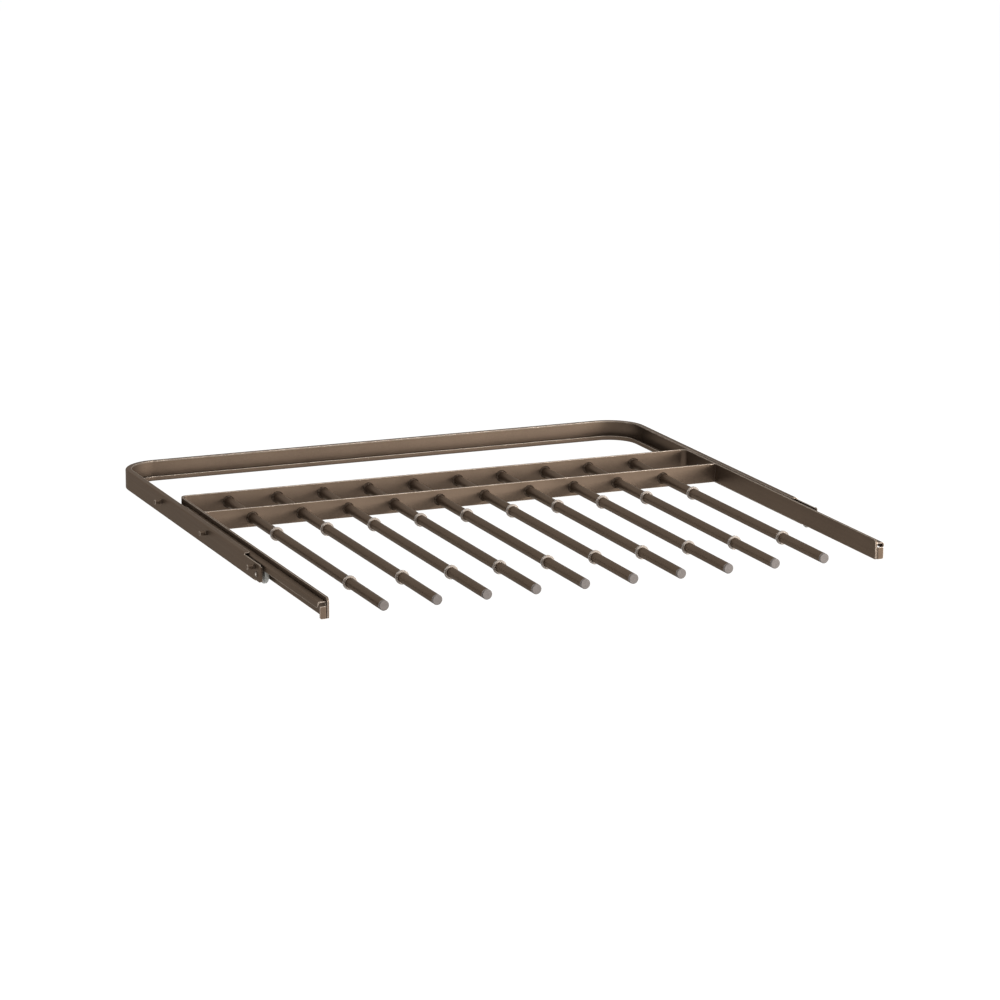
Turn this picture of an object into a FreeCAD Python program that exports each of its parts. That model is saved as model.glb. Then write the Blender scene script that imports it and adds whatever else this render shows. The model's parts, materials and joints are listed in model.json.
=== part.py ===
"""Pull-out trouser rack: a fixed U-shaped channel frame that hangs on shelf brackets by six
headed pins, and a sliding rack of ten cantilevered rods that runs in it on four nylon rollers.

Millimetres, +Z up, front towards -Y, X across. The origin is the middle of the footprint at the
level of the lowest surface. The stored pose is the rack partly pulled out.
"""
import FreeCAD, Part
import os
import Sketcher

OUT_DIR = "parts"
Vector = FreeCAD.Vector

# Driving dimensions. Depths are measured behind the frame's two front tips or, where the name
# starts with rack, rod, ring, bar or rail, behind the front ends of the rack's side strips.
# Heights are measured from the underside of the fixed frame.
SIZES = [
    ("frame_width", 600.0),         # over the outer faces of the fixed frame
    ("frame_depth", 450.0),         # front tips to the back's outer face
    ("sheet_gauge", 1.2),           # roll-formed channel and slide rails
    ("bend_inside", 0.6),           # inside radius of every bend along the sheet
    ("top_flange", 6.5),
    ("lip_height", 5.0),            # the lip that closes the roller track
    ("lip_room", 0.5),              # rear roller to the track's lip
    ("lip_clearance", 0.6),         # track's lip to the rack's slide rail
    ("head_room", 0.9),             # rear roller to the top flange
    ("corner_radius", 41.0),        # plan radius of the frame's rear corners, outer face
    ("top_cut", 44.0),              # front stretch with no top flange, where the rack lifts in
    ("flange_corner", 2.5),
    ("tip_corner", 1.5),
    ("tip_return", 2.8),            # width of the web's front edge, turned in behind a bend
    ("tip_return_low", 2.2),
    ("tip_return_drop", 4.0),       # top of the web to the top of that edge
    ("tip_bend", 1.1),              # outside radius of that bend
    ("pin_first", 16.5),            # first bracket pin behind the front tip
    ("pin_pitch", 140.0),
    ("pin_height", 13.9),
    ("pin_neck_radius", 1.8),
    ("pin_neck_length", 1.0),       # room for the bracket's plate behind the head
    ("pin_head_radius", 2.4),
    ("pin_head_length", 6.0),
    ("front_roller_radius", 9.7),
    ("rear_roller_radius", 8.7),
    ("rear_roller_width", 6.7),
    ("rear_standoff", 1.2),         # web's inner face to the rear roller
    ("roller_rim", 0.6),            # bevel of the rollers' edges
    ("axle_radius", 2.0),
    ("running_fit", 0.05),          # radial, roller bore over axle
    ("side_play", 0.1),             # roller face to shoulder and head
    ("rivet_fit", 0.02),            # radial, axle in the hole that it is riveted into
    ("axle_shoulder", 3.2),         # radius of the spacer shoulder
    ("axle_head", 2.7),             # radius of the rivet head
    ("axle_head_thick", 0.8),
    ("axle_head_bevel", 0.5),
    ("front_roller_setback", 9.2),
    ("front_roller_height", 8.2),
    ("track_clearance", 0.3),       # roller to the surface that it runs on
    ("pulled_out", 147.0),          # how far the rack's front stands ahead of the tips as stored
    ("rack_depth", 424.0),
    ("strip_gauge", 2.0),
    ("strip_height", 20.0),
    ("strip_bottom", 3.2),
    ("strip_corner", 8.0),
    ("strip_nose", 4.0),            # rounding of a side strip's upper front corner
    ("strip_chin", 1.2),
    ("bar_setback", 349.5),         # front face of the cross bar
    ("rail_flange", 8.6),           # slide rail's flange, out from the strip
    ("rail_lip", 6.1),              # height of the flange's turned-down lip
    ("rail_lip_gap", 0.3),          # front roller to this lip and to the track's lip
    ("rail_lip_corner", 4.0),
    ("rail_length", 403.0),
    ("rail_step", 0.2),             # flange's and lip's front end behind the tab's bend
    ("rail_tab", 7.1),              # width of the folded front tab
    ("rail_tab_height", 12.0),
    ("rail_tab_corner", 1.6),
    ("rail_tab_shoulder", 0.8),
    ("rail_end_corner", 3.0),
    ("rear_axle_setback", 390.0),
    ("rear_rivet_radius", 1.9),
    ("rear_head", 4.2),             # radius of the rear axle's flat head, inside the strip
    ("rear_head_thick", 0.6),
    ("flange_gap", 2.3),            # end of the rail's flange to the rear roller
    ("rod_radius", 5.0),
    ("rod_wall", 1.0),
    ("rod_height", 12.8),
    ("rod_pitch", 50.3),            # between the eight inner rods
    ("rod_end_pitch", 53.2),        # from an inner rod to the outermost one
    ("rod_shift", -5.6),            # middle of the row of rods from the middle of the frame
    ("rod_overhang", 10.0),         # caps ahead of the side strips
    ("bar_hole_fit", 0.05),         # radial, rod in the cross bar
    ("cap_head", 2.0),
    ("cap_edge", 0.5),              # bevel of the head's rim
    ("cap_plug", 6.0),
    ("cap_fit", 0.05),              # radial, plug in the tube
    ("ring_wall", 2.0),             # ring's outer radius less the rod's
    ("ring_width", 2.0),
    ("ring_fit", 0.02),             # radial, ring on the rod
    ("ring_front", 78.0),
    ("ring_rear", 278.0),
    ("overcut", 1.0),               # how far a cut runs past the sheet that it opens
]

# Lengths and positions that follow from the sizes, as formulas of the second sheet.
PLACES = [
    ("frame_left", "=-Sizes.frame_width / 2"),
    ("frame_right", "=Sizes.frame_width / 2"),
    ("tip_y", "=(Sizes.pulled_out + Sizes.rod_overhang - Sizes.frame_depth) / 2"),
    ("base_z", "=Sizes.front_roller_radius - Sizes.front_roller_height"),
    ("bend_outside", "=Sizes.bend_inside + Sizes.sheet_gauge"),
    ("rear_room", "=Sizes.rear_roller_width + 2 * Sizes.side_play"),
    ("rear_near_x", "=Sizes.sheet_gauge + Sizes.rear_standoff"),
    ("lip_inside", "=rear_near_x + rear_room + Sizes.lip_room"),
    ("bottom_flange", "=lip_inside + Sizes.sheet_gauge"),
    ("side_gap", "=bottom_flange + Sizes.lip_clearance + Sizes.sheet_gauge"),
    ("flange_underside", "=Sizes.sheet_gauge + Sizes.track_clearance"
                         " + 2 * Sizes.rear_roller_radius + Sizes.head_room"),
    ("channel_height", "=flange_underside + Sizes.sheet_gauge"),
    ("cut_top", "=channel_height - bend_outside"),
    ("roller_drop", "=Sizes.front_roller_height - Sizes.sheet_gauge"),
    ("roller_reach", "=Sizes.front_roller_radius + Sizes.track_clearance"),
    ("bottom_cut", "=Sizes.front_roller_setback + sqrt(roller_reach ^ 2 - roller_drop ^ 2)"),
    ("before", "=-Sizes.overcut"),
    ("frame_beyond", "=Sizes.frame_width + Sizes.overcut"),
    ("right_web", "=Sizes.frame_width - Sizes.sheet_gauge"),
    ("right_return", "=Sizes.frame_width - Sizes.tip_return"),
    ("above", "=channel_height + Sizes.overcut"),
    ("lip_beyond", "=Sizes.lip_height + Sizes.overcut"),
    ("tip_beyond", "=Sizes.tip_corner + Sizes.overcut"),
    ("tip_return_high", "=channel_height - Sizes.tip_return_drop"),
    ("tip_low", "=bend_outside + tip_beyond"),
    ("tip_high", "=cut_top - tip_beyond"),
    ("pin_z", "=base_z + Sizes.pin_height"),
    ("pin_front_y", "=tip_y + Sizes.pin_first"),
    ("pin_mid_y", "=pin_front_y + Sizes.pin_pitch"),
    ("pin_rear_y", "=pin_mid_y + Sizes.pin_pitch"),
    ("pin_length", "=Sizes.pin_neck_length + Sizes.pin_head_length"),
    ("axle_hole", "=Sizes.axle_radius + Sizes.rivet_fit"),
    ("roller_bore", "=Sizes.axle_radius + Sizes.running_fit"),
    ("axle_face", "=-Sizes.axle_head_thick"),
    ("axle_brow", "=Sizes.axle_head_bevel - Sizes.axle_head_thick"),
    ("axle_crown", "=Sizes.axle_head - Sizes.axle_head_bevel"),
    ("front_rim", "=Sizes.front_roller_radius - Sizes.roller_rim"),
    ("rear_rim", "=Sizes.rear_roller_radius - Sizes.roller_rim"),
    ("rear_far_rim", "=Sizes.rear_roller_width - Sizes.roller_rim"),
    ("front_near_x", "=side_gap - rail_lip_inner + Sizes.rail_lip_gap"),
    ("front_roller_width", "=lip_inside - Sizes.rail_lip_gap - front_near_x"),
    ("front_far_rim", "=front_roller_width - Sizes.roller_rim"),
    ("front_shoulder", "=front_near_x - Sizes.side_play"),
    ("front_tail", "=front_near_x + front_roller_width + Sizes.side_play"),
    ("front_tail_end", "=front_tail + Sizes.axle_head_thick"),
    ("front_roller_left_x", "=frame_left + front_near_x"),
    ("front_roller_right_x", "=frame_right - front_near_x"),
    ("rear_roller_left_x", "=frame_left + rear_near_x + Sizes.side_play"),
    ("rear_roller_right_x", "=frame_right - rear_near_x - Sizes.side_play"),
    ("front_axle_y", "=tip_y + Sizes.front_roller_setback"),
    ("front_axle_z", "=base_z + Sizes.front_roller_height"),
    ("rack_y", "=tip_y - Sizes.pulled_out"),
    ("rack_z", "=base_z + Sizes.strip_bottom"),
    ("rack_left", "=frame_left + side_gap"),
    ("rack_right", "=frame_right - side_gap"),
    ("rack_width", "=rack_right - rack_left"),
    ("inner_left", "=rack_left + Sizes.strip_gauge"),
    ("inner_right", "=rack_right - Sizes.strip_gauge"),
    ("bar_length", "=inner_right - inner_left"),
    ("bar_y", "=rack_y + Sizes.bar_setback"),
    ("rear_roller_height", "=Sizes.sheet_gauge + Sizes.track_clearance"
                           " + Sizes.rear_roller_radius"),
    ("rear_axle_y", "=rack_y + Sizes.rear_axle_setback"),
    ("rear_axle_z", "=base_z + rear_roller_height"),
    ("rear_axle_drop", "=rear_roller_height - Sizes.strip_bottom"),
    ("rear_rivet_hole", "=Sizes.rear_rivet_radius + Sizes.rivet_fit"),
    ("rear_face", "=-Sizes.rear_head_thick"),
    ("rear_shoulder", "=Sizes.strip_gauge + Sizes.sheet_gauge"),
    ("rear_shoulder_end", "=side_gap + Sizes.strip_gauge - rear_near_x - rear_room"),
    ("rear_tail", "=rear_shoulder_end + rear_room"),
    ("rear_tail_end", "=rear_tail + Sizes.axle_head_thick"),
    ("rail_underside", "=Sizes.front_roller_height + Sizes.front_roller_radius"
                       " + Sizes.track_clearance - Sizes.strip_bottom"),
    ("rail_top", "=rail_underside + Sizes.sheet_gauge"),
    ("rail_above", "=rail_top + Sizes.overcut"),
    ("rail_bend_line", "=rail_top - bend_outside"),
    ("rail_beyond", "=Sizes.rail_length + Sizes.overcut"),
    ("rail_flange_end", "=Sizes.rear_axle_setback - Sizes.rear_roller_radius - Sizes.flange_gap"),
    ("rail_setback", "=bend_outside + Sizes.rail_step"),
    ("rail_flat", "=Sizes.rail_flange - bend_outside - Sizes.overcut"),
    ("rail_lip_inner", "=Sizes.rail_flange - Sizes.sheet_gauge"),
    ("rail_lip_low", "=rail_top - Sizes.rail_lip"),
    ("rail_lip_under", "=rail_lip_low - Sizes.overcut"),
    ("rail_outside", "=Sizes.rail_flange + Sizes.overcut"),
    ("rod_y", "=rack_y - Sizes.rod_overhang + Sizes.cap_head"),
    ("rod_z", "=base_z + Sizes.rod_height"),
    ("rod_length", "=rack_y + Sizes.rack_depth - Sizes.strip_gauge - rod_y"),
    ("bar_hole", "=Sizes.rod_radius + Sizes.bar_hole_fit"),
    ("bar_hole_z", "=Sizes.rod_height - Sizes.strip_bottom"),
    ("cap_y", "=rack_y - Sizes.rod_overhang"),
    ("rod_bore", "=Sizes.rod_radius - Sizes.rod_wall"),
    ("cap_face", "=Sizes.rod_radius - Sizes.cap_edge"),
    ("cap_plug_radius", "=rod_bore - Sizes.cap_fit"),
    ("cap_length", "=Sizes.cap_head + Sizes.cap_plug"),
    ("ring_bore", "=Sizes.rod_radius + Sizes.ring_fit"),
    ("ring_radius", "=Sizes.rod_radius + Sizes.ring_wall"),
    ("ring_front_y", "=rack_y + Sizes.ring_front - Sizes.ring_width / 2"),
    ("ring_rear_y", "=rack_y + Sizes.ring_rear - Sizes.ring_width / 2"),
]

ROD_COUNT = 10
INNER_RODS = ROD_COUNT - 2
RODS = range(1, ROD_COUNT + 1)

doc = FreeCAD.newDocument("TrouserRack")


def add_sheet(name, rows):
    """A spreadsheet with one named value per row."""
    sheet = doc.addObject("Spreadsheet::Sheet", name)
    for row, (alias, content) in enumerate(rows, start=1):
        sheet.set(f"A{row}", alias)
        sheet.set(f"B{row}", str(content))
        sheet.setAlias(f"B{row}", alias)
    doc.recompute()
    return sheet


def rod_rows():
    """Where each rod stands: eight at one pitch, and one further out at each end."""
    rows = []
    for rod in RODS:
        if rod == 1:
            place = f"=Sizes.rod_shift - {(INNER_RODS - 1) / 2} * Sizes.rod_pitch - Sizes.rod_end_pitch"
        elif rod == ROD_COUNT:
            place = f"=Sizes.rod_shift + {(INNER_RODS - 1) / 2} * Sizes.rod_pitch + Sizes.rod_end_pitch"
        else:
            place = f"=Sizes.rod_shift + {rod - (ROD_COUNT + 1) / 2} * Sizes.rod_pitch"
        rows.append((f"rod_{rod:02d}_x", place))
        rows.append((f"bar_hole_{rod:02d}_x", f"=rod_{rod:02d}_x - inner_left"))
    return rows


sizes = add_sheet("Sizes", SIZES)
places = add_sheet("Places", PLACES + rod_rows())
SIZE_NAMES = {alias for alias, _ in SIZES}


def value(name):
    """The present value of a named cell, with an optional leading minus."""
    if name == "zero":
        return 0.0
    if name.startswith("-"):
        return -value(name[1:])
    return float((sizes if name in SIZE_NAMES else places).get(name))


def formula(name):
    """The expression that binds a property or constraint to a named cell."""
    if name.startswith("-"):
        return "-" + formula(name[1:])
    return ("Sizes." if name in SIZE_NAMES else "Places.") + name


def new_body(label):
    body = doc.addObject("PartDesign::Body", label)
    body.Label = label
    return body


def group(label, bodies):
    """One sub-part made of several identical, separate solids."""
    compound = doc.addObject("Part::Compound", label)
    compound.Label = label
    compound.Links = bodies
    doc.recompute()


def put(body, x, y, z, turned=False):
    """Place a body by named cells, turned half round about Z where asked."""
    if turned:
        body.Placement.Rotation = FreeCAD.Rotation(Vector(0, 0, 1), 180)
    for axis, name in zip("xyz", (x, y, z)):
        if name != "zero":
            body.setExpression(f"Placement.Base.{axis}", formula(name))


def new_sketch(body, name, role):
    sketch = body.newObject("Sketcher::SketchObject", name)
    plane = next(item for item in body.Origin.OriginFeatures if item.Role == role)
    sketch.AttachmentSupport = [(plane, "")]
    sketch.MapMode = "FlatFace"
    return sketch


def fix_point(sketch, geometry, position, x, y):
    """Hold a point at named distances from the sketch's origin."""
    for kind, name, axis in (("DistanceX", x, -2), ("DistanceY", y, -1)):
        if name == "zero":
            sketch.addConstraint(Sketcher.Constraint("PointOnObject", geometry, position, axis))
            continue
        index = sketch.addConstraint(
            Sketcher.Constraint(kind, -1, 1, geometry, position, value(name)))
        sketch.setExpression(f"Constraints[{index}]", formula(name))


def bind_radius(sketch, geometry, name):
    index = sketch.addConstraint(Sketcher.Constraint("Radius", geometry, value(name)))
    sketch.setExpression(f"Constraints[{index}]", formula(name))


def round_corner(before, corner, after, radius):
    """The arc that rounds a corner, and whether it runs anticlockwise."""
    back = (before - corner).normalize()
    ahead = (after - corner).normalize()
    half = back.getAngle(ahead) / 2
    start = corner + back * (radius / tangent(half))
    end = corner + ahead * (radius / tangent(half))
    middle = corner + (back + ahead).normalize() * (radius / sine(half))
    circle = Part.Circle(middle, Vector(0, 0, 1), radius)
    left_turn = back.cross(ahead).z < 0
    ends = (start, end) if left_turn else (end, start)
    arc = Part.ArcOfCircle(circle, circle.parameter(ends[0]), circle.parameter(ends[1]))
    return arc, start, end, left_turn


def sine(angle):
    return Vector(1, 0, 0).cross(FreeCAD.Rotation(Vector(0, 0, 1), Radian=angle)
                                 .multVec(Vector(1, 0, 0))).z


def tangent(angle):
    turned = FreeCAD.Rotation(Vector(0, 0, 1), Radian=angle).multVec(Vector(1, 0, 0))
    return turned.y / turned.x


def draw(sketch, points, closed=True):
    """Straight sides between named points (x, y, corner radius or None), rounded by tangent arcs."""
    count = len(points)
    spots = [Vector(value(x), value(y), 0) for x, y, _ in points]
    arcs = {}
    for i, (_, _, radius) in enumerate(points):
        if radius:
            arcs[i] = round_corner(spots[i - 1], spots[i], spots[(i + 1) % count], value(radius))
    sides = []
    for i in range(count if closed else count - 1):
        j = (i + 1) % count
        start = arcs[i][2] if i in arcs else spots[i]
        end = arcs[j][1] if j in arcs else spots[j]
        sides.append(sketch.addGeometry(Part.LineSegment(start, end)))
    for i, (x, y, radius) in enumerate(points):
        side_before = sides[i - 1] if closed or i > 0 else None
        side_after = sides[i] if i < len(sides) else None
        if radius:
            arc, _, _, left_turn = arcs[i]
            bend = sketch.addGeometry(arc)
            first, last = (1, 2) if left_turn else (2, 1)
            sketch.addConstraint(Sketcher.Constraint("Tangent", side_before, 2, bend, first))
            sketch.addConstraint(Sketcher.Constraint("Tangent", side_after, 1, bend, last))
            bind_radius(sketch, bend, radius)
            corner = sketch.addGeometry(Part.Point(spots[i]), True)
            sketch.addConstraint(Sketcher.Constraint("PointOnObject", corner, 1, side_before))
            sketch.addConstraint(Sketcher.Constraint("PointOnObject", corner, 1, side_after))
            fix_point(sketch, corner, 1, x, y)
        elif side_after is None:
            fix_point(sketch, side_before, 2, x, y)
        else:
            if side_before is not None:
                sketch.addConstraint(
                    Sketcher.Constraint("Coincident", side_before, 2, side_after, 1))
            fix_point(sketch, side_after, 1, x, y)


def draw_circle(sketch, x, y, radius):
    centre = Vector(value(x), value(y), 0)
    circle = sketch.addGeometry(Part.Circle(centre, Vector(0, 0, 1), value(radius)))
    fix_point(sketch, circle, 3, x, y)
    bind_radius(sketch, circle, radius)


def outline(body, name, role, points, closed=True):
    sketch = new_sketch(body, name, role)
    draw(sketch, points, closed)
    return sketch


def square(low_x, low_y, high_x, high_y):
    return [(low_x, low_y, None), (high_x, low_y, None), (high_x, high_y, None), (low_x, high_y, None)]


def pad_back(body, name, sketch, length):
    """Extrude a front-view sketch towards the back."""
    pad = body.newObject("PartDesign::Pad", name)
    pad.Profile = sketch
    pad.Reversed = True
    pad.setExpression("Length", formula(length))
    doc.recompute()
    return pad


def cut(body, name, sketch, length=None, reverse=False):
    """Cut away from the sketch by a named length or, with none, right through both ways."""
    before = body.Shape.Volume
    pocket = body.newObject("PartDesign::Pocket", name)
    pocket.Profile = sketch
    pocket.Reversed = reverse
    if length:
        pocket.setExpression("Length", formula(length))
    else:
        pocket.Type = "ThroughAll"
        pocket.SideType = "Symmetric"
    doc.recompute()
    if body.Shape.Volume >= before:
        raise RuntimeError(f"{body.Label}: {name} cuts nothing")
    return pocket


def turn(body, sketch):
    """Revolve a half section about the sketch's own horizontal axis."""
    revolution = body.newObject("PartDesign::Revolution", "Turned")
    revolution.Profile = sketch
    revolution.ReferenceAxis = (sketch, ["H_Axis"])
    revolution.Angle = 360
    doc.recompute()
    return revolution


def bend(body, section, width, depth, radius):
    """Run a section along a U: back along the left side, across, and forward again."""
    path = outline(body, "Path", "XY_Plane",
                   [("zero", "zero", None), ("zero", depth, radius), (width, depth, radius),
                    (width, "zero", None)], closed=False)
    profile = outline(body, "Section", "XZ_Plane", section)
    pipe = body.newObject("PartDesign::AdditivePipe", "Bent")
    pipe.Profile = profile
    pipe.Spine = (path, [])
    doc.recompute()
    return pipe


def round_edges(body, name, radius, spots):
    """Fillet the edges whose midpoints lie at the given points of the body's own frame."""
    base = body.Tip
    shape = base.Shape
    names = []
    for spot in spots:
        nearest = min(range(len(shape.Edges)),
                      key=lambda i: (shape.Edges[i].CenterOfMass - spot).Length)
        names.append(f"Edge{nearest + 1}")
    before = body.Shape.Volume
    fillet = body.newObject("PartDesign::Fillet", name)
    fillet.Base = (base, names)
    fillet.setExpression("Radius", formula(radius))
    doc.recompute()
    if abs(body.Shape.Volume - before) < 1e-6:
        raise RuntimeError(f"{body.Label}: {name} rounds nothing")
    return fillet


def both_sides(x, width, y, z):
    return [Vector(x, y, z), Vector(width - x, y, z)]


def outer_frame():
    """The fixed frame: a lipped C channel, open inwards, bent in one piece round the back."""
    body = new_body("outer_frame")
    section = [
        ("zero", "zero", "bend_outside"),
        ("bottom_flange", "zero", "bend_outside"),
        ("bottom_flange", "lip_height", None),
        ("lip_inside", "lip_height", None),
        ("lip_inside", "sheet_gauge", "bend_inside"),
        ("sheet_gauge", "sheet_gauge", "bend_inside"),
        ("sheet_gauge", "flange_underside", "bend_inside"),
        ("top_flange", "flange_underside", None),
        ("top_flange", "channel_height", None),
        ("zero", "channel_height", "bend_outside"),
    ]
    bend(body, section, "frame_width", "frame_depth", "corner_radius")
    top = outline(body, "TopCutOutline", "XZ_Plane",
                  square("before", "cut_top", "frame_beyond", "above"))
    cut(body, "TopCut", top, "top_cut")
    track = outline(body, "TrackCutOutline", "XZ_Plane", [
        ("before", "before", None),
        ("frame_beyond", "before", None),
        ("frame_beyond", "bend_outside", None),
        ("right_web", "bend_outside", None),
        ("right_web", "lip_beyond", None),
        ("sheet_gauge", "lip_beyond", None),
        ("sheet_gauge", "bend_outside", None),
        ("before", "bend_outside", None),
    ])
    cut(body, "TrackCut", track, "bottom_cut")
    for side, near, far in (("Left", "sheet_gauge", "tip_return"),
                            ("Right", "right_web", "right_return")):
        turned_in = outline(body, f"{side}ReturnOutline", "XZ_Plane",
                            square(near, "tip_return_low", far, "tip_return_high"))
        pad_back(body, f"{side}Return", turned_in, "sheet_gauge")
    holes = new_sketch(body, "AxleHoleCircle", "YZ_Plane")
    draw_circle(holes, "front_roller_setback", "front_roller_height", "axle_hole")
    cut(body, "AxleHoles", holes)
    width = value("frame_width")
    half_gauge = value("sheet_gauge") / 2
    round_edges(body, "FlangeCorners", "flange_corner",
                both_sides(value("top_flange"), width, value("top_cut"),
                           value("channel_height") - half_gauge))
    round_edges(body, "LipCorners", "flange_corner",
                both_sides(value("bottom_flange") - half_gauge, width, value("bottom_cut"),
                           value("lip_height")))
    middle = value("channel_height") / 2
    round_edges(body, "TipBends", "tip_bend", both_sides(0, width, 0, middle))
    inside = value("sheet_gauge")
    middle = (value("tip_return_low") + value("tip_return_high")) / 2
    round_edges(body, "TipInsides", "bend_inside", both_sides(inside, width, inside, middle))
    corners = outline(body, "TipCornerOutlines", "YZ_Plane", [
        ("before", "before", None),
        ("tip_beyond", "before", None),
        ("tip_beyond", "bend_outside", None),
        ("zero", "bend_outside", "tip_corner"),
        ("zero", "tip_low", None),
        ("before", "tip_low", None),
    ])
    draw(corners, [
        ("before", "tip_high", None),
        ("zero", "tip_high", None),
        ("zero", "cut_top", "tip_corner"),
        ("tip_beyond", "cut_top", None),
        ("tip_beyond", "above", None),
        ("before", "above", None),
    ])
    cut(body, "TipCorners", corners)
    put(body, "frame_left", "tip_y", "base_z")


def bracket_pins():
    """Headed studs, welded to the web's outer face, that drop into the slots of shelf brackets."""
    half_section = [
        ("zero", "zero", None),
        ("zero", "pin_neck_radius", None),
        ("pin_neck_length", "pin_neck_radius", None),
        ("pin_neck_length", "pin_head_radius", None),
        ("pin_length", "pin_head_radius", None),
        ("pin_length", "zero", None),
    ]
    for side in ("left", "right"):
        pins = []
        for row in ("front", "mid", "rear"):
            body = new_body(f"bracket_pin_{side}_{row}")
            turn(body, outline(body, "HalfSection", "XZ_Plane", half_section))
            put(body, f"frame_{side}", f"pin_{row}_y", "pin_z", turned=side == "left")
            pins.append(body)
        group(f"bracket_pins_{side}", pins)


def rollers():
    """Nylon rollers: two fixed at the frame's tips and two that travel with the rack."""
    for side in ("left", "right"):
        for row in ("front", "rear"):
            body = new_body(f"{row}_roller_{side}")
            section = [
                ("zero", "roller_bore", None),
                (f"{row}_roller_width", "roller_bore", None),
                (f"{row}_roller_width", f"{row}_rim", None),
                (f"{row}_far_rim", f"{row}_roller_radius", None),
                ("roller_rim", f"{row}_roller_radius", None),
                ("zero", f"{row}_rim", None),
            ]
            turn(body, outline(body, "HalfSection", "XZ_Plane", section))
            put(body, f"{row}_roller_{side}_x", f"{row}_axle_y", f"{row}_axle_z",
                turned=side == "right")


def front_axles():
    """Shouldered rivets through the web: bevelled head, spacer shoulder, roller, and tail."""
    half_section = [
        ("axle_face", "zero", None),
        ("axle_face", "axle_crown", None),
        ("axle_brow", "axle_head", None),
        ("zero", "axle_head", None),
        ("zero", "axle_radius", None),
        ("sheet_gauge", "axle_radius", None),
        ("sheet_gauge", "axle_shoulder", None),
        ("front_shoulder", "axle_shoulder", None),
        ("front_shoulder", "axle_radius", None),
        ("front_tail", "axle_radius", None),
        ("front_tail", "axle_head", None),
        ("front_tail_end", "axle_head", None),
        ("front_tail_end", "zero", None),
    ]
    axles = []
    for side in ("left", "right"):
        body = new_body(f"front_axle_{side}")
        turn(body, outline(body, "HalfSection", "XZ_Plane", half_section))
        put(body, f"frame_{side}", "front_axle_y", "front_axle_z", turned=side == "right")
        axles.append(body)
    group("front_axles", axles)


def rear_axles():
    """Shouldered rivets: flat head inside the rack, through strip and rail, roller outside."""
    half_section = [
        ("rear_face", "zero", None),
        ("rear_face", "rear_head", None),
        ("zero", "rear_head", None),
        ("zero", "rear_rivet_radius", None),
        ("rear_shoulder", "rear_rivet_radius", None),
        ("rear_shoulder", "axle_shoulder", None),
        ("rear_shoulder_end", "axle_shoulder", None),
        ("rear_shoulder_end", "axle_radius", None),
        ("rear_tail", "axle_radius", None),
        ("rear_tail", "axle_head", None),
        ("rear_tail_end", "axle_head", None),
        ("rear_tail_end", "zero", None),
    ]
    axles = []
    for side in ("left", "right"):
        body = new_body(f"rear_axle_{side}")
        turn(body, outline(body, "HalfSection", "XZ_Plane", half_section))
        put(body, f"inner_{side}", "rear_axle_y", "rear_axle_z", turned=side == "left")
        axles.append(body)
    group("rear_axles", axles)


def inner_frame():
    """The rack's flat strip, on edge, bent in one piece round the sides and rear."""
    body = new_body("inner_frame")
    bend(body, square("zero", "zero", "strip_gauge", "strip_height"),
         "rack_width", "rack_depth", "strip_corner")
    holes = new_sketch(body, "RivetHoleCircles", "YZ_Plane")
    draw_circle(holes, "rear_axle_setback", "rear_axle_drop", "rear_rivet_hole")
    cut(body, "RivetHoles", holes)
    width = value("rack_width")
    middle = value("strip_gauge") / 2
    round_edges(body, "Noses", "strip_nose", both_sides(middle, width, 0, value("strip_height")))
    round_edges(body, "Chins", "strip_chin", both_sides(middle, width, 0, 0))
    put(body, "rack_left", "rack_y", "rack_z")


def cross_bar():
    """The second flat bar, ahead of the rear one, that the rods pass through."""
    body = new_body("cross_bar")
    face = outline(body, "Face", "XZ_Plane", square("zero", "zero", "bar_length", "strip_height"))
    for rod in RODS:
        draw_circle(face, f"bar_hole_{rod:02d}_x", "bar_hole_z", "bar_hole")
    pad_back(body, "Bar", face, "strip_gauge")
    put(body, "inner_left", "bar_y", "rack_z")


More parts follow.
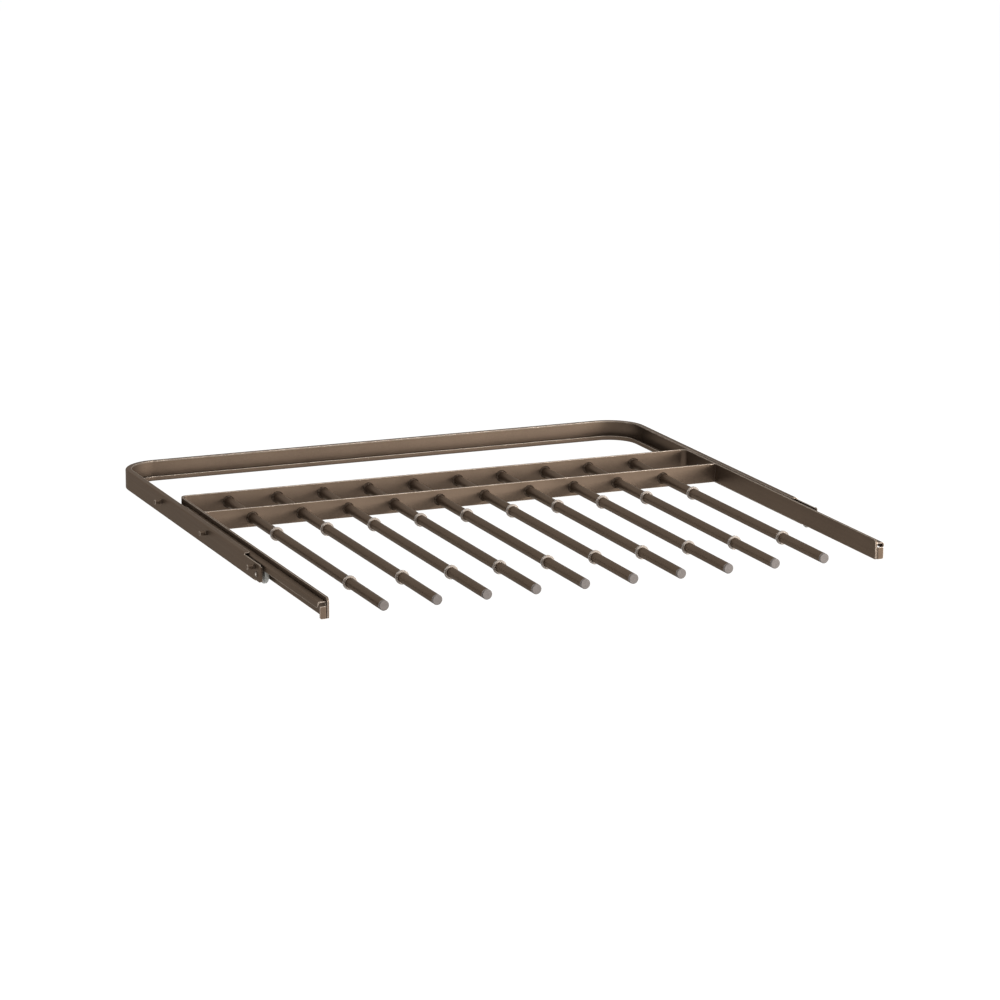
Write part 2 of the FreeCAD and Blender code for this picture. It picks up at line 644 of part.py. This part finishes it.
def slide_rails():
    """Rails outside the side strips: a flange runs on the front roller, with a lip turned down
    outside it, and the web's front end is folded out as a tab. The flange stops short of the
    rear roller."""
    for side, out in (("left", "-"), ("right", "")):
        inward = "-before" if out else "before"
        body = new_body(f"slide_rail_{side}")
        angle = [
            ("zero", "zero", None),
            ("zero", "rail_top", "bend_outside"),
            (out + "rail_flat", "rail_top", None),
            (out + "rail_flat", "rail_underside", None),
            (out + "sheet_gauge", "rail_underside", "bend_inside"),
            (out + "sheet_gauge", "zero", None),
        ]
        pad_back(body, "Angle", outline(body, "AngleSection", "XZ_Plane", angle), "rail_length")
        lip = [
            (out + "rail_flat", "rail_top", None),
            (out + "rail_flange", "rail_top", "bend_outside"),
            (out + "rail_flange", "rail_lip_low", None),
            (out + "rail_lip_inner", "rail_lip_low", None),
            (out + "rail_lip_inner", "rail_underside", "bend_inside"),
            (out + "rail_flat", "rail_underside", None),
        ]
        pad_back(body, "Lip", outline(body, "LipSection", "XZ_Plane", lip), "rail_flange_end")
        rear = outline(body, "RearCutOutline", "YZ_Plane",
                       square("rail_flange_end", "rail_bend_line", "rail_beyond", "rail_above"))
        cut(body, "RearCut", rear)
        front = outline(body, "FrontCutOutline", "XZ_Plane", [
            (inward, "rail_tab_height", None),
            (out + "sheet_gauge", "rail_tab_height", None),
            (out + "sheet_gauge", "rail_lip_under", None),
            (out + "rail_outside", "rail_lip_under", None),
            (out + "rail_outside", "rail_above", None),
            (inward, "rail_above", None),
        ])
        cut(body, "FrontCut", front, "rail_setback")
        hole = new_sketch(body, "RivetHoleCircle", "YZ_Plane")
        draw_circle(hole, "rear_axle_setback", "rear_axle_drop", "rear_rivet_hole")
        cut(body, "RivetHole", hole)
        tab = outline(body, "TabOutline", "XZ_Plane", [
            ("zero", "zero", None),
            (out + "rail_tab", "zero", "rail_tab_corner"),
            (out + "rail_tab", "rail_tab_height", "rail_tab_shoulder"),
            ("zero", "rail_tab_height", None),
        ])
        pad_back(body, "Tab", tab, "sheet_gauge")
        gauge = value(out + "sheet_gauge")
        length = value("rail_length")
        tab_middle = value("rail_tab_height") / 2
        lip_middle = value(out + "rail_flange") - gauge / 2
        round_edges(body, "TabBend", "bend_outside", [Vector(0, 0, tab_middle)])
        round_edges(body, "TabInside", "bend_inside", [Vector(gauge, abs(gauge), tab_middle)])
        round_edges(body, "LipCorner", "rail_lip_corner",
                    [Vector(lip_middle, value("rail_setback"), value("rail_lip_low"))])
        round_edges(body, "EndCorners", "rail_end_corner", [
            Vector(gauge / 2, length, 0),
            Vector(gauge / 2, length, value("rail_bend_line")),
        ])
        put(body, f"rack_{side}", "rack_y", "rack_z")


def rods():
    """Tubes through the cross bar, welded to both bars and free at the front."""
    for rod in RODS:
        body = new_body(f"rod_{rod:02d}")
        section = square("zero", "rod_bore", "rod_length", "rod_radius")
        turn(body, outline(body, "HalfSection", "YZ_Plane", section))
        put(body, f"rod_{rod:02d}_x", "rod_y", "rod_z")


def end_caps():
    """Plastic plugs that close the front of each rod."""
    half_section = [
        ("zero", "zero", None),
        ("zero", "cap_face", None),
        ("cap_edge", "rod_radius", None),
        ("cap_head", "rod_radius", None),
        ("cap_head", "cap_plug_radius", None),
        ("cap_length", "cap_plug_radius", None),
        ("cap_length", "zero", None),
    ]
    caps = []
    for rod in RODS:
        body = new_body(f"end_cap_{rod:02d}")
        turn(body, outline(body, "HalfSection", "YZ_Plane", half_section))
        put(body, f"rod_{rod:02d}_x", "cap_y", "rod_z")
        caps.append(body)
    group("end_caps", caps)


def stop_rings():
    """Two clear rings on each rod that keep the hung cloth between them."""
    for rod in RODS:
        pair = []
        for row in ("front", "rear"):
            body = new_body(f"stop_ring_{rod:02d}_{row}")
            section = square("zero", "ring_bore", "ring_width", "ring_radius")
            turn(body, outline(body, "HalfSection", "YZ_Plane", section))
            put(body, f"rod_{rod:02d}_x", f"ring_{row}_y", "rod_z")
            pair.append(body)
        group(f"stop_rings_{rod:02d}", pair)


def check_and_write():
    """Stop at anything failed, then write one file per sub-part."""
    doc.recompute()
    failed = [item.Name for item in doc.Objects if {"Invalid", "Error"} & set(item.State)]
    if failed:
        raise RuntimeError(f"failed objects: {failed}")
    groups = [item for item in doc.Objects if item.TypeId == "Part::Compound"]
    grouped = {member.Name for item in groups for member in item.Links}
    bodies = [item for item in doc.Objects if item.TypeId == "PartDesign::Body"]
    for body in bodies:
        if body.Shape.isNull() or len(body.Shape.Solids) != 1:
            raise RuntimeError(f"{body.Label}: not one solid")
    sub_parts = [body for body in bodies if body.Name not in grouped] + groups
    for item in sub_parts:
        if item.Shape.isNull() or not item.Shape.isValid():
            raise RuntimeError(f"{item.Label}: not valid")
    os.makedirs(OUT_DIR, exist_ok=True)
    for item in sub_parts:
        item.Shape.exportStep(os.path.join(OUT_DIR, item.Label + ".step"))
    print(f"{len(sub_parts)} sub-parts written")


outer_frame()
bracket_pins()
rollers()
front_axles()
rear_axles()
inner_frame()
cross_bar()
slide_rails()
rods()
end_caps()
stop_rings()
check_and_write()
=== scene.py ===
import json
import math

import bmesh
import bpy
from mathutils import Matrix, Vector


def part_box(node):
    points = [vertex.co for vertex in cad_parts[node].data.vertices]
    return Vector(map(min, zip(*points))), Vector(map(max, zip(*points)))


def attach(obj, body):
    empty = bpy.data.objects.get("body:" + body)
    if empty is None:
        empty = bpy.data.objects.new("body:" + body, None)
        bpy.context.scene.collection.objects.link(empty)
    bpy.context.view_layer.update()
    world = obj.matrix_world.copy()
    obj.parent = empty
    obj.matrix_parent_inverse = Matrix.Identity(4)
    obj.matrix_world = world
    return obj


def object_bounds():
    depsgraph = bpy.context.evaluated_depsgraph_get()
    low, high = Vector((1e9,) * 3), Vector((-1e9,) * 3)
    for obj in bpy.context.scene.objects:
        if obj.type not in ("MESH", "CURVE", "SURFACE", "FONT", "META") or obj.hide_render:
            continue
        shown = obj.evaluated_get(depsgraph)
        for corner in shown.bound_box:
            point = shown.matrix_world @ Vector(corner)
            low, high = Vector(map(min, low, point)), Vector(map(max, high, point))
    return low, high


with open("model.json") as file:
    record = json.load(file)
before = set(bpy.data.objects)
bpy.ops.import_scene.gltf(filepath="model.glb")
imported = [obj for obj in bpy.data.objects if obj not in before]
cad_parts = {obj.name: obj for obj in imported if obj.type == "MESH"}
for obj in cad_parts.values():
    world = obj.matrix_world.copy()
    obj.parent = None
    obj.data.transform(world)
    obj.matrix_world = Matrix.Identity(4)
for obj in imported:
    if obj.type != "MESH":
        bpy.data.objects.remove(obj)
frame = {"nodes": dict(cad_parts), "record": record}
CAD_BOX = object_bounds()

# The camera: a 135 mm lens a little to the left of the front and above.
CAMERA_AIM = Vector((-0.006501, -0.0435, 0.034369))
CAMERA_AZIMUTH = math.radians(-23.455)
CAMERA_ELEVATION = math.radians(13.812)
CAMERA_ROLL = math.radians(0.392)
CAMERA_DISTANCE = 3.769758
CAMERA_LENS = 134.996

SENSOR_WIDTH = 36.0
VIEW_REACH = 100.0         # the camera sees this far

FLOOR_DROP = 0.30          # the rack hangs this far above the floor
FLOOR_HALF = 30.0
FLOOR_GREY = 0.35          # what the floor sends back onto the rack
FLOOR_LIFT = 0.85          # what it shows on top of that, which makes it white
SKY_LIGHT = 0.45

ROD_COUNT = 10
SUNK = 0.00005             # an added piece starts this far inside the metal that carries it
CORNER_SUNK = 4 * SUNK     # and the inner corner of a weld bead this far
BEAD_REACH = 0.0024        # of a weld bead along its rod
BEAD_SPREAD = 0.65         # of that reach, across the bar's face
CROWN_RADIUS = 0.0012
CROWN_HEIGHT = 0.0006

BEVEL_SAMPLES = 6
EDGE_SAMPLES = 12
PLAIN_IOR = 1.5            # of the coat, the steels and the caps
NYLON_IOR = 1.53
SOFT_PLASTIC_IOR = 1.46


def linear(red, green, blue):
    """A colour given in display steps from 0 to 255, as linear light by the sRGB curve."""
    steps = []
    for step in (red, green, blue):
        share = step / 255
        steps.append(share / 12.92 if share <= 0.04045 else ((share + 0.055) / 1.055) ** 2.4)
    return (*steps, 1.0)


# ---------------------------------------------------------------- materials

class Shader:
    """A material with one principled shader, and short calls that add and join nodes."""

    def __init__(self, name, **sockets):
        self.material = bpy.data.materials.new(name)
        self.material.use_nodes = True
        self.tree = self.material.node_tree
        self.tree.nodes.clear()
        self.output = self.tree.nodes.new("ShaderNodeOutputMaterial")
        self.principled = self.tree.nodes.new("ShaderNodeBsdfPrincipled")
        self.join(self.principled.outputs["BSDF"], self.output.inputs["Surface"])
        for socket, level in sockets.items():
            self.principled.inputs[socket.replace("_", " ")].default_value = level
        self.place = self.tree.nodes.new("ShaderNodeTexCoord").outputs["Object"]

    def join(self, out, into):
        self.tree.links.new(out, into)

    def stretched(self, x, y, z):
        mapping = self.tree.nodes.new("ShaderNodeMapping")
        mapping.inputs["Scale"].default_value = (x, y, z)
        self.join(self.place, mapping.inputs["Vector"])
        return mapping.outputs["Vector"]

    def noise(self, scale, detail=2.0, rough=0.5, place=None):
        noise = self.tree.nodes.new("ShaderNodeTexNoise")
        noise.inputs["Scale"].default_value = scale
        noise.inputs["Detail"].default_value = detail
        noise.inputs["Roughness"].default_value = rough
        self.join(place or self.place, noise.inputs["Vector"])
        return noise.outputs["Fac"]

    def ramp(self, factor, low, high, to_low=0.0, to_high=1.0):
        """A factor's stretch from low to high, spread from to_low to to_high."""
        spread = self.tree.nodes.new("ShaderNodeMapRange")
        for name, level in (("From Min", low), ("From Max", high), ("To Min", to_low),
                            ("To Max", to_high)):
            spread.inputs[name].default_value = level
        self.join(factor, spread.inputs["Value"])
        return spread.outputs["Result"]

    def maths(self, operation, first, second):
        node = self.tree.nodes.new("ShaderNodeMath")
        node.operation = operation
        for socket, level in zip(node.inputs, (first, second)):
            if isinstance(level, (int, float)):
                socket.default_value = level
            else:
                self.join(level, socket)
        return node.outputs["Value"]

    def mix(self, factor, first, second):
        """From the first colour at factor 0 to the second at 1; a colour is fixed or a socket."""
        mix = self.tree.nodes.new("ShaderNodeMix")
        mix.data_type = "RGBA"
        self.join(factor, mix.inputs["Factor"])
        for socket, colour in ((mix.inputs["A"], first), (mix.inputs["B"], second)):
            if isinstance(colour, tuple):
                socket.default_value = colour
            else:
                self.join(colour, socket)
        return mix.outputs["Result"]

    def edges(self, radius, low, high):
        """1 on sharp edges, 0 on flat faces: how far a rounded normal leaves the true one."""
        bevel = self.tree.nodes.new("ShaderNodeBevel")
        bevel.samples = EDGE_SAMPLES
        bevel.inputs["Radius"].default_value = radius
        geometry = self.tree.nodes.new("ShaderNodeNewGeometry")
        dot = self.tree.nodes.new("ShaderNodeVectorMath")
        dot.operation = "DOT_PRODUCT"
        self.join(bevel.outputs["Normal"], dot.inputs[0])
        self.join(geometry.outputs["Normal"], dot.inputs[1])
        return self.ramp(dot.outputs["Value"], high, low)

    def relief(self, height, distance, strength, rounding):
        """Bump from a height, laid over edges that are rounded off."""
        bevel = self.tree.nodes.new("ShaderNodeBevel")
        bevel.samples = BEVEL_SAMPLES
        bevel.inputs["Radius"].default_value = rounding
        bump = self.tree.nodes.new("ShaderNodeBump")
        bump.inputs["Distance"].default_value = distance
        bump.inputs["Strength"].default_value = strength
        self.join(height, bump.inputs["Height"])
        self.join(bevel.outputs["Normal"], bump.inputs["Normal"])
        self.join(bump.outputs["Normal"], self.principled.inputs["Normal"])

    def colour(self, out):
        self.join(out, self.principled.inputs["Base Color"])

    def roughness(self, out):
        self.join(out, self.principled.inputs["Roughness"])


def powder_coat(name):
    """Satin bronze-brown epoxy powder: mottled, partly metallic, orange-peel, with painted
    highlights along its edges.
    """
    s = Shader(name, Metallic=0.65, IOR=PLAIN_IOR, Specular_IOR_Level=0.2,
               Specular_Tint=(0.35, 0.32, 0.29, 1.0))
    cloud = s.noise(14.0, 3.0, 0.55)
    grain = s.noise(1500.0, 2.0, 0.6)
    streak = s.noise(1.0, 3.0, 0.6, s.stretched(320.0, 9.0, 320.0))
    body = s.mix(s.ramp(cloud, 0.3, 0.7), linear(92, 78, 66), linear(102, 87, 74))
    flecked = s.mix(s.ramp(grain, 0.45, 0.75), body, linear(107, 91, 78))
    # Painted highlight: a pale colour laid in patches along convex edges, where overhead light
    # would catch them.
    edge_highlight_mask = s.edges(0.0012, 0.90, 0.985)
    patchy_highlight = s.maths("MULTIPLY", edge_highlight_mask, s.ramp(s.noise(120.0, 2.0), 0.35, 0.65, 0.65, 1.0))
    s.colour(s.mix(patchy_highlight, flecked, linear(202, 188, 174)))
    rough = s.ramp(cloud, 0.3, 0.7, 0.36, 0.44)
    rough = s.maths("ADD", rough, s.ramp(streak, 0.35, 0.7, -0.03, 0.05))
    s.roughness(s.maths("SUBTRACT", rough, s.maths("MULTIPLY", patchy_highlight, 0.08)))
    peel = s.maths("ADD", s.noise(700.0, 2.0, 0.5), s.maths("MULTIPLY", grain, 0.4))
    s.relief(peel, 0.00003, 0.25, 0.0008)
    return s.material


def bead_coat(name):
    """The brown over weld metal, darker than on the sheet as painted shade where rod meets bar:
    rippled, and glossier than on the sheet.
    """
    s = Shader(name, Metallic=0.6, IOR=PLAIN_IOR, Specular_IOR_Level=0.3,
               Specular_Tint=(0.4, 0.37, 0.34, 1.0))
    ripple = s.noise(350.0, 2.0, 0.5)
    # The darker brown is painted shade for the corner between rod and bar.
    s.colour(s.mix(s.ramp(ripple, 0.35, 0.65), linear(70, 58, 49), linear(92, 78, 66)))
    s.roughness(s.ramp(ripple, 0.35, 0.7, 0.14, 0.26))
    s.relief(ripple, 0.00006, 0.3, 0.0003)
    return s.material


def nylon(name):
    """Natural nylon, turned: nearly white, with the fine rings of the lathe tool."""
    s = Shader(name, IOR=NYLON_IOR)
    tone = s.noise(260.0, 3.0)
    scuff = s.noise(1.0, 3.0, 0.6, s.stretched(1500.0, 160.0, 160.0))
    s.colour(s.mix(s.ramp(tone, 0.3, 0.7), linear(238, 238, 232), linear(246, 246, 240)))
    s.roughness(s.ramp(scuff, 0.3, 0.7, 0.34, 0.5))
    s.relief(scuff, 0.00005, 0.4, 0.0004)
    return s.material


def rivet_steel(name):
    """Plain steel rivets under a thin coat of the brown powder, with fine scratches."""
    s = Shader(name, Metallic=0.9, IOR=PLAIN_IOR)
    tone = s.noise(420.0, 3.0)
    scratch = s.noise(1.0, 4.0, 0.6, s.stretched(400.0, 2400.0, 400.0))
    s.colour(s.mix(s.ramp(tone, 0.35, 0.65), linear(84, 74, 65), linear(104, 93, 82)))
    s.roughness(s.ramp(scratch, 0.3, 0.7, 0.26, 0.42))
    s.relief(scratch, 0.00003, 0.35, 0.0003)
    return s.material


def bright_steel(name):
    """Bright bare steel, put in as a painted glint in the middle of a rivet's head."""
    s = Shader(name, Metallic=1.0, IOR=PLAIN_IOR)
    tone = s.noise(900.0, 3.0)
    s.colour(s.mix(s.ramp(tone, 0.35, 0.65), linear(196, 186, 174), linear(222, 214, 204)))
    s.roughness(s.ramp(tone, 0.3, 0.7, 0.18, 0.30))
    s.relief(tone, 0.00002, 0.2, 0.0002)
    return s.material


def cap_plastic(name):
    """Satin warm grey moulded plastic with a fine spark-eroded grain."""
    s = Shader(name, IOR=PLAIN_IOR)
    tone = s.noise(300.0, 3.0)
    grain = s.noise(2600.0, 2.0, 0.6)
    s.colour(s.mix(s.ramp(tone, 0.3, 0.7), linear(106, 98, 94), linear(116, 108, 104)))
    s.roughness(s.ramp(grain, 0.35, 0.7, 0.44, 0.58))
    s.relief(grain, 0.00005, 0.45, 0.0005)
    return s.material


def clear_ring(name):
    """Soft plastic, partly clear, a little cloudy and scuffed."""
    s = Shader(name, IOR=SOFT_PLASTIC_IOR, Transmission_Weight=0.4)
    cloud = s.noise(60.0, 2.0)
    scuff = s.noise(120.0, 2.0, 0.5)
    s.colour(s.mix(s.ramp(cloud, 0.3, 0.7), linear(202, 189, 177), linear(212, 200, 189)))
    s.roughness(s.ramp(scuff, 0.35, 0.7, 0.22, 0.30))
    s.relief(scuff, 0.00001, 0.1, 0.0005)
    return s.material


MATERIALS = {
    "bronze_coat": powder_coat("bronze_powder_coat"),
    "nylon": nylon("turned_nylon"),
    "rivet_steel": rivet_steel("set_rivet_steel"),
    "cap_plastic": cap_plastic("moulded_cap_plastic"),
    "clear_ring": clear_ring("clear_soft_plastic"),
}

for subpart in frame["record"]["subparts"]:
    node = frame["nodes"][subpart["node"]]
    node.data.materials.clear()
    node.data.materials.append(MATERIALS[subpart["material_slot"]])


# ---------------------------------------------------------------- added pieces

def add_piece(name, mesh, material, body):
    """Turns a closed bmesh into a piece that rides on a body."""
    bmesh.ops.recalc_face_normals(mesh, faces=mesh.faces)
    data = bpy.data.meshes.new(name)
    mesh.to_mesh(data)
    mesh.free()
    data.materials.append(material)
    piece = bpy.data.objects.new(name, data)
    bpy.context.scene.collection.objects.link(piece)
    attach(piece, body)


def bead_ring(mesh, centre, radius, direction, seed):
    """A fillet of weld round a rod, where it leaves a bar's face in the given Y direction.

    Each section is a hollow curve from the bar to the rod, closed by a corner inside the metal.
    The seed shifts the swellings, so that no two beads are alike.
    """
    turns, steps = 20, 4
    sections = []
    for i in range(turns):
        angle = 2 * math.pi * i / turns
        swell = 1 + 0.10 * math.sin(2 * angle + seed) + 0.05 * math.sin(5 * angle + 2.3 * seed)
        rise = BEAD_REACH * swell
        outline = []
        for j in range(steps):
            turned = j / (steps - 1) * math.pi / 2
            outline.append((radius + BEAD_SPREAD * rise * (1 - math.sin(turned)) - SUNK,
                            rise * (1 - math.cos(turned)) - SUNK))
        outline.append((radius - CORNER_SUNK, -CORNER_SUNK))
        sections.append([mesh.verts.new((centre.x + lift * math.cos(angle),
                                         centre.y + along * direction,
                                         centre.z + lift * math.sin(angle)))
                         for lift, along in outline])
    for i in range(turns):
        here, following = sections[i], sections[(i + 1) % turns]
        for j in range(len(here)):
            k = (j + 1) % len(here)
            face = mesh.faces.new((here[j], here[k], following[k], following[j]))
            face.smooth = j < steps - 1


def weld_beads():
    """One bead where each rod meets each face of the cross bar and the front of the rear bar."""
    bead_material = bead_coat("bronze_coated_weld")
    bar_low, bar_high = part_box("cross_bar")
    for label, plane, direction in (("front", bar_low[1], -1), ("middle", bar_high[1], 1),
                                    ("rear", None, -1)):
        mesh = bmesh.new()
        for rod in range(1, ROD_COUNT + 1):
            low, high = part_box(f"rod_{rod:02d}")
            centre = Vector(((low[0] + high[0]) / 2, high[1] if plane is None else plane,
                             (low[2] + high[2]) / 2))
            radius = (high[0] - low[0]) / 2
            bead_ring(mesh, centre, radius, direction, 1.7 * rod + len(label))
        add_piece(f"weld_beads_{label}", mesh, bead_material, "rack")


def crown(mesh, centre, outward):
    """A low bright dome in the middle of a rivet's head, a painted glint."""
    turns, steps = 16, 4
    rings = []
    for j in range(steps):
        turned = j / steps * math.pi / 2
        across = CROWN_RADIUS * math.cos(turned)
        along = CROWN_HEIGHT * math.sin(turned) * outward
        rings.append([mesh.verts.new((centre.x + along,
                                      centre.y + across * math.cos(2 * math.pi * i / turns),
                                      centre.z + across * math.sin(2 * math.pi * i / turns)))
                      for i in range(turns)])
    top = mesh.verts.new((centre.x + CROWN_HEIGHT * outward, centre.y, centre.z))
    base = mesh.verts.new(centre)
    for i in range(turns):
        k = (i + 1) % turns
        for lower, upper in zip(rings, rings[1:]):
            mesh.faces.new((lower[i], lower[k], upper[k], upper[i])).smooth = True
        mesh.faces.new((rings[-1][i], rings[-1][k], top)).smooth = True
        mesh.faces.new((rings[0][k], rings[0][i], base))


def rivet_glint_crowns():
    """One crown, a painted glint in bright steel, on the outer head of each front roller's rivet.
    """
    low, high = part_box("front_axles")
    mesh = bmesh.new()
    for face, outward in ((low[0], -1), (high[0], 1)):
        centre = Vector((face - SUNK * outward, (low[1] + high[1]) / 2, (low[2] + high[2]) / 2))
        crown(mesh, centre, outward)
    add_piece("rivet_glint_crowns", mesh, bright_steel("glint_rivet_steel"),
              "fixed_frame")


weld_beads()
rivet_glint_crowns()


# ---------------------------------------------------------------- floor, light and camera

def seen(tree):
    """1 for what the camera sees straight, in a reflection or through clear plastic, else 0."""
    path = tree.nodes.new("ShaderNodeLightPath")
    any_of = path.outputs["Is Camera Ray"]
    for kind in ("Is Glossy Ray", "Is Transmission Ray"):
        either = tree.nodes.new("ShaderNodeMath")
        either.operation = "MAXIMUM"
        tree.links.new(any_of, either.inputs[0])
        tree.links.new(path.outputs[kind], either.inputs[1])
        any_of = either.outputs["Value"]
    return any_of


def white_where_seen(tree, shader_out, lift):
    """Adds plain white over the lit shader, only where it is seen."""
    strength = tree.nodes.new("ShaderNodeMath")
    strength.operation = "MULTIPLY"
    tree.links.new(seen(tree), strength.inputs[0])
    strength.inputs[1].default_value = lift
    glow = tree.nodes.new("ShaderNodeEmission")
    tree.links.new(strength.outputs["Value"], glow.inputs["Strength"])
    add = tree.nodes.new("ShaderNodeAddShader")
    tree.links.new(shader_out, add.inputs[0])
    tree.links.new(glow.outputs["Emission"], add.inputs[1])
    return add.outputs["Shader"]


def pale_floor():
    """A floor that looks white, sends soft light up onto the rack and is clear from below."""
    low, _ = CAD_BOX
    mesh = bmesh.new()
    bmesh.ops.create_grid(mesh, x_segments=1, y_segments=1, size=FLOOR_HALF)
    data = bpy.data.meshes.new("studio_floor")
    mesh.to_mesh(data)
    mesh.free()
    floor = bpy.data.objects.new("studio_floor", data)
    floor.location = (0, 0, low[2] - FLOOR_DROP)
    bpy.context.scene.collection.objects.link(floor)
    material = bpy.data.materials.new("studio_floor")
    material.use_nodes = True
    tree = material.node_tree
    tree.nodes.clear()
    output = tree.nodes.new("ShaderNodeOutputMaterial")
    diffuse = tree.nodes.new("ShaderNodeBsdfDiffuse")
    diffuse.inputs["Color"].default_value = (FLOOR_GREY, FLOOR_GREY, FLOOR_GREY, 1.0)
    clear = tree.nodes.new("ShaderNodeBsdfTransparent")
    sides = tree.nodes.new("ShaderNodeMixShader")
    tree.links.new(tree.nodes.new("ShaderNodeNewGeometry").outputs["Backfacing"],
                   sides.inputs["Fac"])
    tree.links.new(white_where_seen(tree, diffuse.outputs["BSDF"], FLOOR_LIFT), sides.inputs[1])
    tree.links.new(clear.outputs["BSDF"], sides.inputs[2])
    tree.links.new(sides.outputs["Shader"], output.inputs["Surface"])
    data.materials.append(material)


def studio_world():
    """Even grey-white light, and plain white where the world is seen."""
    world = bpy.data.worlds.new("studio")
    bpy.context.scene.world = world
    world.use_nodes = True
    tree = world.node_tree
    tree.nodes.clear()
    output = tree.nodes.new("ShaderNodeOutputWorld")
    lit = tree.nodes.new("ShaderNodeBackground")
    lit.inputs["Color"].default_value = (1.0, 0.99, 0.975, 1.0)
    lit.inputs["Strength"].default_value = SKY_LIGHT
    white = tree.nodes.new("ShaderNodeBackground")
    white.inputs["Color"].default_value = (1.0, 1.0, 1.0, 1.0)
    white.inputs["Strength"].default_value = 1.0
    mix = tree.nodes.new("ShaderNodeMixShader")
    tree.links.new(seen(tree), mix.inputs["Fac"])
    tree.links.new(lit.outputs["Background"], mix.inputs[1])
    tree.links.new(white.outputs["Background"], mix.inputs[2])
    tree.links.new(mix.outputs["Shader"], output.inputs["Surface"])


def softbox(name, place, wide, tall, power, colour=(1.0, 1.0, 1.0)):
    """A rectangular lamp, in metres and watts, aimed at the middle of the rack's footprint."""
    lamp = bpy.data.lights.new(name, "AREA")
    lamp.shape = "RECTANGLE"
    lamp.size = wide
    lamp.size_y = tall
    lamp.energy = power
    lamp.color = colour
    box = bpy.data.objects.new(name, lamp)
    box.location = place
    box.rotation_euler = (-Vector(place)).to_track_quat("-Z", "Y").to_euler()
    bpy.context.scene.collection.objects.link(box)


def camera():
    """The photograph's view, through a camera that was fitted to it."""
    azimuth, elevation, roll = CAMERA_AZIMUTH, CAMERA_ELEVATION, CAMERA_ROLL
    ahead = Vector((-math.sin(azimuth) * math.cos(elevation),
                    math.cos(azimuth) * math.cos(elevation), -math.sin(elevation)))
    right = Vector((math.cos(azimuth), math.sin(azimuth), 0))
    up = right.cross(ahead)
    right, up = (math.cos(roll) * right + math.sin(roll) * up,
                 math.cos(roll) * up - math.sin(roll) * right)
    data = bpy.data.cameras.new("view")
    data.sensor_fit = "HORIZONTAL"
    data.sensor_width = SENSOR_WIDTH
    data.lens = CAMERA_LENS
    data.clip_end = VIEW_REACH
    view = bpy.data.objects.new("view", data)
    turned = Matrix((right, up, -ahead)).transposed().to_4x4()
    view.matrix_world = Matrix.Translation(CAMERA_AIM - ahead * CAMERA_DISTANCE) @ turned
    bpy.context.scene.collection.objects.link(view)
    bpy.context.scene.camera = view


pale_floor()
studio_world()
softbox("key", (1.5, -2.1, 0.36), 1.8, 0.45, 72.0, (1.0, 0.985, 0.96))
softbox("overhead", (0.9, -0.5, 2.4), 1.8, 1.4, 5.0)
camera()

bpy.context.scene.view_settings.view_transform = "Standard"
